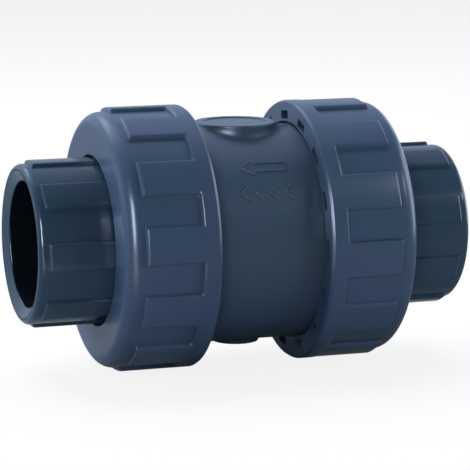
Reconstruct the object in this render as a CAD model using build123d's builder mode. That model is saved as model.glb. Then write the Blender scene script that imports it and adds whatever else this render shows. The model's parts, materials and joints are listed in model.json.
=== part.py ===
"""Double-union check valve with a spring-loaded cone, for 50 mm glued plastic pipe.

The pipe axis is X and the flow runs from +X (inlet) to -X (outlet). Z points up through
the flat boss on the body. The origin is the middle of the valve, on the pipe axis.
Millimetres throughout. Distances along the pipe are measured from the middle, so each
union is described once and built for both ends.
"""

import math
import os

from build123d import *

# ---- driving dimensions ---------------------------------------------------------------
# whole valve
HALF_LENGTH = 89.8
FLOW_RADIUS = 20.0  # DN 40

# pipe socket, for 50 mm pipe
SOCKET_RADIUS = 25.1
SOCKET_DEPTH = 31.0
SOCKET_LEAD_IN = 1.5  # depth of the cone that leads the pipe in
RIM_CREST_RADIUS = 29.3
RIM_ROUNDING = 2.2

# hub of the end connector
HUB_RADIUS = 31.85
HUB_PAD_RADIUS = 33.25
HUB_PAD_COUNT = 8
HUB_PAD_WIDTH = 20.5  # degrees
HUB_PAD_END = 86.1
HUB_PAD_EDGE = 0.6
HUB_PAD_ROOT = 1.0  # how deep a pad starts inside the hub

# flange that the union nut pulls against the body
FLANGE_RADIUS = 39.8
FLANGE_FACE = 47.0
FLANGE_BACK = 53.6
FLANGE_CHAMFER = 0.8
THROAT_RADIUS = 27.0
THROAT_LENGTH = 7.0

# union nut
NUT_RADIUS = 52.8
NUT_ROOT_RADIUS = 51.1
NUT_MOUTH = 22.6
NUT_END = 60.2
NUT_SHOULDER = 53.9
NUT_HOLE_RADIUS = 33.5
NUT_MOUTH_RADIUS = 44.2
NUT_MOUTH_DEPTH = 2.7
NUT_THREAD_RADIUS = 43.0
NUT_THREAD_END = 47.6
NUT_THREAD_RUN_OUT = 1.2
NUT_POCKET_RADIUS = 40.6  # round the flange
NUT_END_ROUNDING = 5.4
NUT_EDGE_CHAMFER = 1.1
GRIP_COUNT = 12
GRIP_RECESS_WIDTH = 13.4  # degrees
GRIP_RECESS_START = 30.0
GRIP_END = 52.8
GRIP_EDGE = 0.5
CORE_COUNT = 15  # moulded pockets in the body-side face
CORE_RADIUS = 46.9
CORE_SIZE = (3.4, 7.8)  # radial, tangential
CORE_CORNER = 0.6
CORE_DEPTH = 14.0

# body
BODY_RADIUS = 43.4
BODY_SHOULDER = 25.0
BODY_SHOULDER_CHAMFER = 0.6
BODY_THREAD_ROOT = 40.6
BODY_END = 46.8
BODY_END_CHAMFER = 1.0
CHAMBER_RADIUS = 31.0
END_BORE_RADIUS = 32.6
END_BORE_CHAMFER = 0.8
INLET_BORE_FLOOR = 28.0
OUTLET_BORE_FLOOR = 36.0
BOSS_RADIUS = 16.5
BOSS_TOP = 45.5
BOSS_FILLET = 4.0
BOSS_EDGE = 0.5
BOSS_DISH_RADIUS = 12.6
BOSS_DISH_DEPTH = 0.3
FOOT_RADIUS = 9.5
FOOT_BOTTOM = 44.4
FOOT_FILLET = 0.6
FOOT_EDGE = 0.3

# how far each nut, its pockets and each connector are turned about the pipe, in degrees
NUT_TURN = {"inlet": 4.9, "outlet": -5.9}
HUB_TURN = {"inlet": -18.3, "outlet": 0.6}
CORE_TURN = {"inlet": 1.0, "outlet": 9.9}

# face seals
O_RING_CORD = 3.5
FACE_O_RING_RADIUS = 36.5
CARRIER_O_RING_CORD = 2.6
RING_GAP = 0.2  # side clearance of an O-ring in its groove

# seat carrier
CARRIER_RADIUS = 32.4
CARRIER_INNER_END = 28.2
CARRIER_OUTER_END = 46.5
CARRIER_NOSE_RADIUS = 28.0
CARRIER_NOSE_END = 23.4
CARRIER_NOSE_CHAMFERS = (0.5, 2.0)  # inside, outside
CARRIER_GROOVE_DEPTH = 2.45
CARRIER_GROOVE_PLACE = 3.4  # from the inner end to the groove's middle
SEAT_BEAD_RADIUS = 21.8
SEAT_BEAD_SIZE = 1.35
KEY_SLOT_COUNT = 4
KEY_SLOT_WIDTH = 4.0
KEY_SLOT_DEPTH = 3.0
KEY_SLOT_TURN = 45  # degrees

# poppet
STEM_RADIUS = 5.0
STEM_TAIL = -34.0
STEM_TAIL_CHAMFER = 1.2
STEM_COLLAR_RADIUS = 8.0
STEM_COLLAR_LENGTH = 2.5
STEM_THREAD_RADIUS = 4.0
STEM_FRONT = 38.6
STEM_FRONT_CHAMFER = 0.8
STEM_STEP = 0.4  # how far the full diameter stops behind the seal's face
SLIP_FIT = 0.03
DISC_RADIUS = 24.4
DISC_FRONT = 19.0
DISC_RIM = 3.5
DISC_BACK = 7.0
DISC_EDGE = 1.5
DISC_HUB_RADIUS = 14.8
SPRING_POCKET_FLOOR = 10.5
SPRING_POCKET_RADII = (9.9, 12.9)
SEAL_RADIUS = 24.0
SEAL_SPIGOT_RADIUS = 12.9
SEAL_THICKNESS = 3.0
SEAL_EDGE = 0.5
SEAL_NIP = 0.2  # how much the retainer squeezes the seal
RETAINER_RADIUS = 18.4
RETAINER_RIM = 2.0
RETAINER_LENGTH = 8.0
RETAINER_FACE_RADIUS = 12.5
WASHER_RADIUS = 8.0
WASHER_THICKNESS = 1.5
STEM_NUT_FLATS = 13.0
STEM_NUT_HEIGHT = 6.0
STEM_NUT_CHAMFER = 30  # degrees

# spring and the guide it pushes against
SPRING_RADIUS = 11.5
SPRING_WIRE = 1.8
SPRING_PITCH = 4.9
SPRING_WASHER_THICKNESS = 1.0
SPRING_WASHER_PLAY = 0.2  # all round, inside and outside
GUIDE_TAIL = -40.0
GUIDE_TAIL_TAPER = (4.0, 3.0)  # along, radial
GUIDE_SHOULDER = -24.0
GUIDE_TIP = -14.0
GUIDE_TIP_CHAMFER = 0.8
GUIDE_HUB_RADIUS = 13.6
GUIDE_SPIGOT_RADIUS = 9.7
GUIDE_RING_RADIUS = 32.5
GUIDE_RING_BORE = 28.6
GUIDE_RING_WIDTH = 5.8
GUIDE_ARM_COUNT = 4
GUIDE_ARM_WIDTH = 4.0
GUIDE_ARM_ROOT = (-39.0, -27.0)
GUIDE_ARM_BED = 1.0  # how far an arm's ends run into the hub and the ring
GUIDE_ARM_INSET = 0.6  # from the ring's two faces
GUIDE_ARM_TURN = 45  # degrees
BUSH_RADIUS = 7.0
BUSH_BORE = 5.07
BUSH_COLLAR_RADIUS = 9.0
BUSH_COLLAR_THICKNESS = 1.2
LOCK_RING_END = -46.4
LOCK_NOTCH_COUNT = 4
LOCK_NOTCH_WIDTH = 5.0
LOCK_NOTCH_DEPTH = 2.0

SIDES = {"inlet": 1, "outlet": -1}


def wedge(width, length):
    """A thin triangle with its tip on the pipe axis, `width` degrees wide."""
    half = length * math.tan(math.radians(width / 2))
    return Polygon((0, 0), (length, -half), (length, half), align=None)


def across(x):
    """The plane square to the pipe at x, with its first axis horizontal and +Z second."""
    return Plane.YZ.offset(x)


def round_faces(block, radius):
    """The block's cylindrical faces of one radius."""
    rounds = block.faces().filter_by(GeomType.CYLINDER)
    return rounds.filter_by(lambda face: abs(face.radius - radius) < 0.01)


def beyond(x):
    """Passes edges further from the middle of the valve than x."""
    return lambda edge: abs(edge.center().X) > x


def write(block, name):
    """Labels a finished piece and writes its file."""
    block.part.label = name
    export_step(block.part, f"parts/{name}.step")


os.makedirs("parts", exist_ok=True)

# ---- valve body: barrel, two bosses, stepped bore ------------------------------------------
with BuildPart() as valve_body:
    with BuildSketch(Plane.XY) as barrel_half:
        with BuildLine():
            Polyline(
                (0, 0),
                (BODY_END, 0),
                (BODY_END, BODY_THREAD_ROOT - BODY_END_CHAMFER),
                (BODY_END - BODY_END_CHAMFER, BODY_THREAD_ROOT),
                (BODY_SHOULDER, BODY_THREAD_ROOT),
                (BODY_SHOULDER, BODY_RADIUS - BODY_SHOULDER_CHAMFER),
                (BODY_SHOULDER - BODY_SHOULDER_CHAMFER, BODY_RADIUS),
                (0, BODY_RADIUS),
                close=True,
            )
        make_face()
        mirror(about=Plane.YZ)
    revolve(axis=Axis.X)
    # flat boss on top, with a soft root
    with BuildSketch(Plane.XY.offset(BOSS_TOP)):
        Circle(BOSS_RADIUS)
    extrude(amount=-BOSS_TOP)
    # low round foot below
    with BuildSketch(Plane.XY.offset(-FOOT_BOTTOM)):
        Circle(FOOT_RADIUS)
    extrude(amount=FOOT_BOTTOM)
    faces = valve_body.faces().sort_by(Axis.Z)
    fillet(faces[-1].edges(), BOSS_EDGE)
    fillet(faces[0].edges(), FOOT_EDGE)
    # where each one runs into the barrel
    roots = valve_body.edges().filter_by(GeomType.BSPLINE).sort_by(Axis.Z)
    fillet(roots[-1], BOSS_FILLET)
    fillet(roots[0], FOOT_FILLET)
    # shallow dish in the boss
    with BuildSketch(Plane.XY.offset(BOSS_TOP)):
        Circle(BOSS_DISH_RADIUS)
    extrude(amount=-BOSS_DISH_DEPTH, mode=Mode.SUBTRACT)
    # stepped bore, from the inlet end to the outlet end
    with BuildSketch(Plane.XY) as bore_half:
        with BuildLine():
            Polyline(
                (BODY_END, 0),
                (BODY_END, END_BORE_RADIUS + END_BORE_CHAMFER),
                (BODY_END - END_BORE_CHAMFER, END_BORE_RADIUS),
                (INLET_BORE_FLOOR, END_BORE_RADIUS),
                (INLET_BORE_FLOOR, CHAMBER_RADIUS),
                (-OUTLET_BORE_FLOOR, CHAMBER_RADIUS),
                (-OUTLET_BORE_FLOOR, END_BORE_RADIUS),
                (-BODY_END + END_BORE_CHAMFER, END_BORE_RADIUS),
                (-BODY_END, END_BORE_RADIUS + END_BORE_CHAMFER),
                (-BODY_END, 0),
                close=True,
            )
        make_face()
    revolve(axis=Axis.X, mode=Mode.SUBTRACT)
write(valve_body, "valve_body")

# ---- the two unions ----------------------------------------------------------------------
for side, way in SIDES.items():
    with BuildPart() as end_connector:
        with BuildSketch(Plane.XY):
            with BuildLine():
                Polyline(
                    (way * FLANGE_FACE, THROAT_RADIUS),
                    (way * FLANGE_FACE, FLANGE_RADIUS),
                    (way * FLANGE_BACK, FLANGE_RADIUS),
                    (way * FLANGE_BACK, HUB_RADIUS),
                    (way * HALF_LENGTH, HUB_RADIUS),
                    (way * HALF_LENGTH, RIM_CREST_RADIUS),
                    (way * (HALF_LENGTH - SOCKET_LEAD_IN), SOCKET_RADIUS),
                    (way * (HALF_LENGTH - SOCKET_DEPTH), SOCKET_RADIUS),
                    (way * (HALF_LENGTH - SOCKET_DEPTH), FLOW_RADIUS),
                    (way * (FLANGE_FACE + THROAT_LENGTH), FLOW_RADIUS),
                    close=True,
                )
            make_face()
        revolve(axis=Axis.X)
        rims = end_connector.edges().filter_by(GeomType.CIRCLE).sort_by(SortBy.RADIUS)
        chamfer(rims[-2:], FLANGE_CHAMFER)
        rims = end_connector.edges().filter_by(GeomType.CIRCLE)
        outer_rim = rims.group_by(Axis.X)[-1 if way > 0 else 0].sort_by(SortBy.RADIUS)[-1]
        fillet(outer_rim, RIM_ROUNDING)
        # grip pads along the hub
        with BuildSketch(across(way * FLANGE_BACK)):
            with PolarLocations(0, HUB_PAD_COUNT, start_angle=180 + HUB_TURN[side]):
                wedge(HUB_PAD_WIDTH, FLANGE_RADIUS)
            Circle(HUB_PAD_RADIUS, mode=Mode.INTERSECT)
            Circle(HUB_RADIUS - HUB_PAD_ROOT, mode=Mode.SUBTRACT)
        extrude(amount=way * (HUB_PAD_END - FLANGE_BACK))
        pads = round_faces(end_connector, HUB_PAD_RADIUS)
        fillet(pads.edges().filter_by(beyond(FLANGE_BACK + 0.1)), HUB_PAD_EDGE)
        # groove for the face seal
        with BuildSketch(across(way * FLANGE_FACE)):
            Circle(FACE_O_RING_RADIUS + O_RING_CORD / 2 + RING_GAP)
            Circle(FACE_O_RING_RADIUS - O_RING_CORD / 2 - RING_GAP, mode=Mode.SUBTRACT)
        groove = O_RING_CORD - (FLANGE_FACE - BODY_END)
        extrude(amount=way * groove, mode=Mode.SUBTRACT)
    write(end_connector, f"{side}_end_connector")

    with BuildPart() as face_o_ring:
        centre = BODY_END + O_RING_CORD / 2
        with BuildSketch(Plane.XY):
            with Locations((way * centre, FACE_O_RING_RADIUS)):
                Circle(O_RING_CORD / 2)
        revolve(axis=Axis.X)
    write(face_o_ring, f"{side}_face_o_ring")

    with BuildPart() as union_nut:
        with BuildSketch(Plane.XY):
            with BuildLine():
                Polyline(
                    (way * NUT_MOUTH, NUT_MOUTH_RADIUS),
                    (way * NUT_MOUTH, NUT_RADIUS),
                    (way * GRIP_END, NUT_RADIUS),
                    (way * GRIP_END, NUT_ROOT_RADIUS),
                    (way * NUT_END, NUT_ROOT_RADIUS),
                    (way * NUT_END, NUT_HOLE_RADIUS),
                    (way * NUT_SHOULDER, NUT_HOLE_RADIUS),
                    (way * NUT_SHOULDER, NUT_POCKET_RADIUS),
                    (way * NUT_THREAD_END, NUT_POCKET_RADIUS),
                    (way * (NUT_THREAD_END - NUT_THREAD_RUN_OUT), NUT_THREAD_RADIUS),
                    (way * (NUT_MOUTH + NUT_MOUTH_DEPTH), NUT_THREAD_RADIUS),
                    (way * (NUT_MOUTH + NUT_MOUTH_DEPTH), NUT_MOUTH_RADIUS),
                    close=True,
                )
            make_face()
        revolve(axis=Axis.X)
        rims = union_nut.edges().filter_by(GeomType.CIRCLE).group_by(Axis.X)
        end_rims, mouth_rims = (rims[-1], rims[0]) if way > 0 else (rims[0], rims[-1])
        fillet(end_rims.sort_by(SortBy.RADIUS)[-1], NUT_END_ROUNDING)
        chamfer(mouth_rims.sort_by(SortBy.RADIUS)[-1], NUT_EDGE_CHAMFER)
        # recesses between the grip pads, open towards the rounded end
        with BuildSketch(across(way * GRIP_RECESS_START)):
            half_pitch = 180 / GRIP_COUNT
            with PolarLocations(0, GRIP_COUNT, start_angle=180 + NUT_TURN[side] + half_pitch):
                wedge(GRIP_RECESS_WIDTH, NUT_RADIUS + 5)
            Circle(NUT_ROOT_RADIUS, mode=Mode.SUBTRACT)
        extrude(amount=way * (GRIP_END - GRIP_RECESS_START), mode=Mode.SUBTRACT)
        skin = round_faces(union_nut, NUT_RADIUS)
        fillet(skin.edges().filter_by(beyond(GRIP_RECESS_START - 0.1)), GRIP_EDGE)
        # moulded pockets in the body-side face
        with BuildSketch(across(way * NUT_MOUTH)):
            with PolarLocations(CORE_RADIUS, CORE_COUNT, start_angle=180 + CORE_TURN[side]):
                RectangleRounded(CORE_SIZE[0], CORE_SIZE[1], CORE_CORNER)
        extrude(amount=way * CORE_DEPTH, mode=Mode.SUBTRACT)
    write(union_nut, f"{side}_union_nut")

# ---- seat carrier, screwed into the inlet end ------------------------------------------
carrier_groove = CARRIER_INNER_END + CARRIER_GROOVE_PLACE
inner_chamfer, outer_chamfer = CARRIER_NOSE_CHAMFERS
with BuildPart() as seat_carrier:
    with BuildSketch(Plane.XY):
        with BuildLine():
            Polyline(
                (CARRIER_NOSE_END, FLOW_RADIUS + inner_chamfer),
                (CARRIER_NOSE_END, CARRIER_NOSE_RADIUS - outer_chamfer),
                (CARRIER_NOSE_END + outer_chamfer, CARRIER_NOSE_RADIUS),
                (CARRIER_INNER_END, CARRIER_NOSE_RADIUS),
                (CARRIER_INNER_END, CARRIER_RADIUS),
                (CARRIER_OUTER_END, CARRIER_RADIUS),
                (CARRIER_OUTER_END, THROAT_RADIUS),
                (CARRIER_OUTER_END - THROAT_LENGTH, FLOW_RADIUS),
                (CARRIER_NOSE_END + inner_chamfer, FLOW_RADIUS),
                close=True,
            )
        make_face()
        # rounded bead that the seal closes on
        with Locations((CARRIER_NOSE_END, SEAT_BEAD_RADIUS)):
            Circle(SEAT_BEAD_SIZE)
        # groove for the carrier's own O-ring
        with Locations((carrier_groove, CARRIER_RADIUS)):
            Rectangle(
                CARRIER_O_RING_CORD + 2 * RING_GAP, 2 * CARRIER_GROOVE_DEPTH, mode=Mode.SUBTRACT
            )
    revolve(axis=Axis.X)
    # slots for the key that screws it in
    slot_middle = (THROAT_RADIUS + CARRIER_RADIUS) / 2
    with BuildSketch(across(CARRIER_OUTER_END)):
        with PolarLocations(slot_middle, KEY_SLOT_COUNT, start_angle=KEY_SLOT_TURN):
            Rectangle(2 * (CARRIER_RADIUS - slot_middle) + KEY_SLOT_WIDTH, KEY_SLOT_WIDTH)
    extrude(amount=-KEY_SLOT_DEPTH, mode=Mode.SUBTRACT)
write(seat_carrier, "seat_carrier")

with BuildPart() as seat_carrier_o_ring:
    with BuildSketch(Plane.XY):
        with Locations((carrier_groove, END_BORE_RADIUS - CARRIER_O_RING_CORD / 2)):
            Circle(CARRIER_O_RING_CORD / 2)
    revolve(axis=Axis.X)
write(seat_carrier_o_ring, "seat_carrier_o_ring")

# ---- poppet: disc, seal and nose, clamped on the stem -------------------------------------
seal_front = DISC_FRONT + SEAL_THICKNESS
retainer_front = seal_front + RETAINER_LENGTH
washer_front = retainer_front + WASHER_THICKNESS

with BuildPart() as poppet_disc:
    with BuildSketch(Plane.XY):
        with BuildLine():
            Polyline(
                (DISC_BACK, STEM_RADIUS + SLIP_FIT),
                (DISC_BACK, SPRING_POCKET_RADII[0]),
                (SPRING_POCKET_FLOOR, SPRING_POCKET_RADII[0]),
                (SPRING_POCKET_FLOOR, SPRING_POCKET_RADII[1]),
                (DISC_BACK, SPRING_POCKET_RADII[1]),
                (DISC_BACK, DISC_HUB_RADIUS),
                (DISC_FRONT - DISC_RIM, DISC_RADIUS),
                (DISC_FRONT, DISC_RADIUS),
                (DISC_FRONT, SEAL_SPIGOT_RADIUS),
                (seal_front - SEAL_NIP, SEAL_SPIGOT_RADIUS),
                (seal_front - SEAL_NIP, STEM_RADIUS + SLIP_FIT),
                close=True,
            )
        make_face()
    revolve(axis=Axis.X)
    widest = poppet_disc.edges().filter_by(GeomType.CIRCLE).sort_by(SortBy.RADIUS)[-2:]
    fillet(widest.sort_by(Axis.X)[0], DISC_EDGE)
write(poppet_disc, "poppet_disc")

with BuildPart() as poppet_seal:
    with BuildSketch(across(DISC_FRONT)):
        Circle(SEAL_RADIUS)
        Circle(SEAL_SPIGOT_RADIUS + SLIP_FIT, mode=Mode.SUBTRACT)
    extrude(amount=SEAL_THICKNESS)
    rims = poppet_seal.edges().filter_by(GeomType.CIRCLE).sort_by(SortBy.RADIUS)[-2:]
    fillet(rims, SEAL_EDGE)
write(poppet_seal, "poppet_seal")

with BuildPart() as seal_retainer:
    with BuildSketch(Plane.XY):
        with BuildLine():
            bore = STEM_THREAD_RADIUS + SLIP_FIT
            rim = Line(
                (seal_front, RETAINER_RADIUS), (seal_front + RETAINER_RIM, RETAINER_RADIUS)
            )
            # rounded nose that parts the flow
            nose = TangentArc(rim @ 1, (retainer_front, RETAINER_FACE_RADIUS), tangent=(1, 0))
            Polyline(nose @ 1, (retainer_front, bore), (seal_front, bore), rim @ 0)
        make_face()
    revolve(axis=Axis.X)
write(seal_retainer, "seal_retainer")

with BuildPart() as poppet_stem:
    with BuildSketch(Plane.XY):
        with BuildLine():
            Polyline(
                (STEM_TAIL, 0),
                (STEM_TAIL, STEM_RADIUS - STEM_TAIL_CHAMFER),
                (STEM_TAIL + STEM_TAIL_CHAMFER, STEM_RADIUS),
                (DISC_BACK - STEM_COLLAR_LENGTH, STEM_RADIUS),
                (DISC_BACK - STEM_COLLAR_LENGTH, STEM_COLLAR_RADIUS),
                (DISC_BACK, STEM_COLLAR_RADIUS),
                (DISC_BACK, STEM_RADIUS),
                (seal_front - STEM_STEP, STEM_RADIUS),
                (seal_front - STEM_STEP, STEM_THREAD_RADIUS),
                (STEM_FRONT - STEM_FRONT_CHAMFER, STEM_THREAD_RADIUS),
                (STEM_FRONT, STEM_THREAD_RADIUS - STEM_FRONT_CHAMFER),
                (STEM_FRONT, 0),
                close=True,
            )
        make_face()
    revolve(axis=Axis.X)
write(poppet_stem, "poppet_stem")

with BuildPart() as stem_washer:
    with BuildSketch(across(retainer_front)):
        Circle(WASHER_RADIUS)
        Circle(STEM_THREAD_RADIUS + SLIP_FIT, mode=Mode.SUBTRACT)
    extrude(amount=WASHER_THICKNESS)
write(stem_washer, "stem_washer")

with BuildPart() as stem_nut:
    with BuildSketch(across(washer_front)):
        RegularPolygon(STEM_NUT_FLATS / 2, 6, major_radius=False)
    extrude(amount=STEM_NUT_HEIGHT)
    # corners turned off on the outer face
    with BuildSketch(Plane.XY):
        with BuildLine():
            corner = STEM_NUT_FLATS / math.sqrt(3)
            top = washer_front + STEM_NUT_HEIGHT
            drop = (corner - STEM_NUT_FLATS / 2) * math.tan(math.radians(STEM_NUT_CHAMFER))
            Polyline(
                (washer_front, 0),
                (washer_front, corner),
                (top - drop, corner),
                (top, STEM_NUT_FLATS / 2),
                (top, 0),
                close=True,
            )
        make_face()
    revolve(axis=Axis.X, mode=Mode.INTERSECT)
    with BuildSketch(across(washer_front)):
        Circle(STEM_THREAD_RADIUS + SLIP_FIT)
    extrude(amount=STEM_NUT_HEIGHT, mode=Mode.SUBTRACT)
write(stem_nut, "stem_nut")

# ---- return spring: open coils, ground flat at both ends ------------------------------------
spring_start = GUIDE_SHOULDER + SPRING_WASHER_THICKNESS
spring_length = SPRING_POCKET_FLOOR - spring_start
with BuildPart() as return_spring:
    with BuildLine():
        coil = Helix(
            pitch=SPRING_PITCH,
            height=spring_length,
            radius=SPRING_RADIUS,
            center=(spring_start, 0, 0),
            direction=(1, 0, 0),
        )
    with BuildSketch(Plane(coil @ 0, z_dir=coil % 0)):
        Circle(SPRING_WIRE / 2)
    sweep(is_frenet=True)
    # ground ends
    reach = SPRING_RADIUS + 2 * SPRING_WIRE
    with BuildSketch(across(spring_start)):
        Circle(reach)
    extrude(amount=spring_length, mode=Mode.INTERSECT)
write(return_spring, "return_spring")

with BuildPart() as spring_washer:
    with BuildSketch(across(GUIDE_SHOULDER)):
        Circle(GUIDE_HUB_RADIUS - SPRING_WASHER_PLAY)
        Circle(GUIDE_SPIGOT_RADIUS + SPRING_WASHER_PLAY, mode=Mode.SUBTRACT)
    extrude(amount=SPRING_WASHER_THICKNESS)
write(spring_washer, "spring_washer")

# ---- guide: ring, four arms and a hub with a slippery bush -----------------------------------
ring_start = -OUTLET_BORE_FLOOR - GUIDE_RING_WIDTH
with BuildPart() as guide_spider:
    with BuildSketch(Plane.XY):
        with BuildLine():
            Polyline(
                (GUIDE_TAIL, BUSH_RADIUS + SLIP_FIT),
                (GUIDE_TAIL, GUIDE_HUB_RADIUS - GUIDE_TAIL_TAPER[1]),
                (GUIDE_TAIL + GUIDE_TAIL_TAPER[0], GUIDE_HUB_RADIUS),
                (GUIDE_SHOULDER, GUIDE_HUB_RADIUS),
                (GUIDE_SHOULDER, GUIDE_SPIGOT_RADIUS),
                (GUIDE_TIP - GUIDE_TIP_CHAMFER, GUIDE_SPIGOT_RADIUS),
                (GUIDE_TIP, GUIDE_SPIGOT_RADIUS - GUIDE_TIP_CHAMFER),
                (GUIDE_TIP, BUSH_RADIUS + SLIP_FIT),
                close=True,
            )
        make_face()
        with Locations((ring_start, GUIDE_RING_BORE)):
            Rectangle(
                GUIDE_RING_WIDTH,
                GUIDE_RING_RADIUS - GUIDE_RING_BORE,
                align=(Align.MIN, Align.MIN),
            )
    revolve(axis=Axis.X)
    # arms, deep at the hub and shallow at the ring
    arm_foot = GUIDE_HUB_RADIUS - 2 * GUIDE_ARM_BED
    arm_head = GUIDE_RING_BORE + GUIDE_ARM_BED
    for number in range(GUIDE_ARM_COUNT):
        turn = GUIDE_ARM_TURN + number * 360 / GUIDE_ARM_COUNT
        with BuildSketch(Plane.XY.rotated((turn, 0, 0))):
            with BuildLine():
                Polyline(
                    (GUIDE_ARM_ROOT[0], arm_foot),
                    (ring_start + GUIDE_ARM_INSET, arm_head),
                    (-OUTLET_BORE_FLOOR - GUIDE_ARM_INSET, arm_head),
                    (GUIDE_ARM_ROOT[1], arm_foot),
                    close=True,
                )
            make_face()
        extrude(amount=GUIDE_ARM_WIDTH / 2, both=True)
write(guide_spider, "guide_spider")

with BuildPart() as guide_bush:
    with BuildSketch(Plane.XY):
        with BuildLine():
            Polyline(
                (GUIDE_TIP, BUSH_BORE),
                (GUIDE_TIP, BUSH_RADIUS),
                (GUIDE_TAIL, BUSH_RADIUS),
                (GUIDE_TAIL, BUSH_COLLAR_RADIUS),
                (GUIDE_TAIL - BUSH_COLLAR_THICKNESS, BUSH_COLLAR_RADIUS),
                (GUIDE_TAIL - BUSH_COLLAR_THICKNESS, BUSH_BORE),
                close=True,
            )
        make_face()
    revolve(axis=Axis.X)
write(guide_bush, "guide_bush")

with BuildPart() as guide_retaining_ring:
    with BuildSketch(across(LOCK_RING_END)):
        Circle(GUIDE_RING_RADIUS)
        Circle(GUIDE_RING_BORE, mode=Mode.SUBTRACT)
    extrude(amount=ring_start - LOCK_RING_END)
    # notches for the key
    with BuildSketch(across(LOCK_RING_END)):
        with PolarLocations(GUIDE_RING_BORE, LOCK_NOTCH_COUNT):
            Rectangle(2 * LOCK_NOTCH_DEPTH, LOCK_NOTCH_WIDTH)
    extrude(amount=LOCK_NOTCH_DEPTH, mode=Mode.SUBTRACT)
write(guide_retaining_ring, "guide_retaining_ring")
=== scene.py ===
# %% [markdown]
# # A double-union check valve for glued pipe
#
# The real valve is injection moulded in dark blue-grey PVC. A barrel holds a spring-loaded
# cone that lets water through one way, and a union nut at each end ties the barrel to a
# glued pipe socket. The construction comes ready made as a frame of separate parts, in
# metres, with the pipe along X, the inlet at +X and the flat boss on top. This script gives
# those parts their finish, rebuilds the ones whose moulded shape matters most, adds the
# threads and the raised mark, and lights the valve. The frame is loaded first, because
# every place below is measured from it.

# %% Load the frame
import json
import math
from math import cos, radians, sin

import bmesh
import bpy
from mathutils import Matrix, Vector


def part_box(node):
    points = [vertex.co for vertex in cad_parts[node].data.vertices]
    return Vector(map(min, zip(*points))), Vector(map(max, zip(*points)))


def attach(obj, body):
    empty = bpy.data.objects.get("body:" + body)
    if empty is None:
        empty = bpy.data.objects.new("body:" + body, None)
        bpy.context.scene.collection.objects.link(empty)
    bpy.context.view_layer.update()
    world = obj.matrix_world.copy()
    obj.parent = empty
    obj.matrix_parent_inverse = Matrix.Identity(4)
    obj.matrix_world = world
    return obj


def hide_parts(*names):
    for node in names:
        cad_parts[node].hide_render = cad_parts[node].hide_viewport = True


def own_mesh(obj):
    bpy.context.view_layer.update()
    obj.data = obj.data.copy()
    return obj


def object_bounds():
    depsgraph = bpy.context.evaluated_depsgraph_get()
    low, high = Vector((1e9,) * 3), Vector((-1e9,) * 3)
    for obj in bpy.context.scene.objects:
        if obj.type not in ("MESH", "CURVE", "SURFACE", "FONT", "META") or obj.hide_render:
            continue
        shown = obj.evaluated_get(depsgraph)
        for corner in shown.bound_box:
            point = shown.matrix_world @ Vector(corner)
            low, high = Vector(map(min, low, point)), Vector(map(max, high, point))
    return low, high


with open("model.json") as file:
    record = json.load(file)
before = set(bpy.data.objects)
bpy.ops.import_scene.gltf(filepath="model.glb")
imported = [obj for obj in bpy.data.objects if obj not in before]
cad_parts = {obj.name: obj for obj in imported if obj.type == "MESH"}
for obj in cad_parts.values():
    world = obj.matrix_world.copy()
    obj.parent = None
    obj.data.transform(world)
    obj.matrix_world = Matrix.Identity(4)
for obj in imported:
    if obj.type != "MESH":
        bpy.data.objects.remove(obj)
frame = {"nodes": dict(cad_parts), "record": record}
frame_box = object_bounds()
nodes = frame["nodes"]
scene = bpy.context.scene
MM = 0.001
print("parts in the frame:", len(nodes), "length:", round(frame_box[1].x - frame_box[0].x, 4))

# %% [markdown]
# ## The view
#
# A long lens from a little left of the front and a little above the pipe. It sees the
# outlet socket and the whole front of both union nuts. The direction is given as two
# angles, so the camera can be walked round the valve by changing one number.

# %% Camera
VIEW_AZIMUTH = radians(-18.61)
VIEW_ELEVATION = radians(9.81)
VIEW_DISTANCE = 1.05
VIEW_TARGET = Vector((0, 0, -0.00113))
LENS = 198.21


def direction(azimuth, elevation):
    """Unit vector from the valve: azimuth 0 is the front (-Y), 90 degrees the inlet (+X)."""
    flat = cos(elevation)
    return Vector((sin(azimuth) * flat, -cos(azimuth) * flat, sin(elevation)))


camera = bpy.data.objects.new("camera", bpy.data.cameras.new("camera"))
camera.data.lens = LENS
camera.data.clip_start = 0.01
camera.location = VIEW_TARGET + direction(VIEW_AZIMUTH, VIEW_ELEVATION) * VIEW_DISTANCE
camera.rotation_euler = (VIEW_TARGET - camera.location).to_track_quat("-Z", "Y").to_euler()
scene.collection.objects.link(camera)
scene.camera = camera
print("camera at", [round(v, 3) for v in camera.location])

# %% [markdown]
# ## Writing node trees
#
# Materials, the studio and the Geometry Nodes below are all trees of nodes. A tree could be
# built by clicking, but in a script a few small helpers keep each recipe readable: one adds
# a node with its settings and inputs, and the others do sums, soft steps and vectors.

# %% Nodes and sums


def add(tree, kind, inputs=(), **settings):
    """One node: its settings, then its inputs by name or number, each a value or a socket."""
    made = tree.nodes.new(kind)
    for name, value in settings.items():
        setattr(made, name, value)
    for key, value in dict(inputs).items():
        if isinstance(value, bpy.types.NodeSocket):
            tree.links.new(value, made.inputs[key])
        else:
            made.inputs[key].default_value = value
    return made


def out(tree, kind, inputs=(), **settings):
    """The first output of a new node."""
    return add(tree, kind, inputs, **settings).outputs[0]


def maths(tree, operation, *values, clamp=False):
    """The result of one sum on numbers or sockets."""
    return out(tree, "ShaderNodeMath", enumerate(values), operation=operation, use_clamp=clamp)


def times(tree, one, other):
    return maths(tree, "MULTIPLY", one, other)


def plus(tree, one, other, clamp=False):
    return maths(tree, "ADD", one, other, clamp=clamp)


def minus(tree, one, other, clamp=False):
    return maths(tree, "SUBTRACT", one, other, clamp=clamp)


def hypotenuse(tree, one, other):
    """The root of the sum of two squares, such as the distance from an axis."""
    squares = [times(tree, value, value) for value in (one, other)]
    return maths(tree, "SQRT", plus(tree, *squares))


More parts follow.
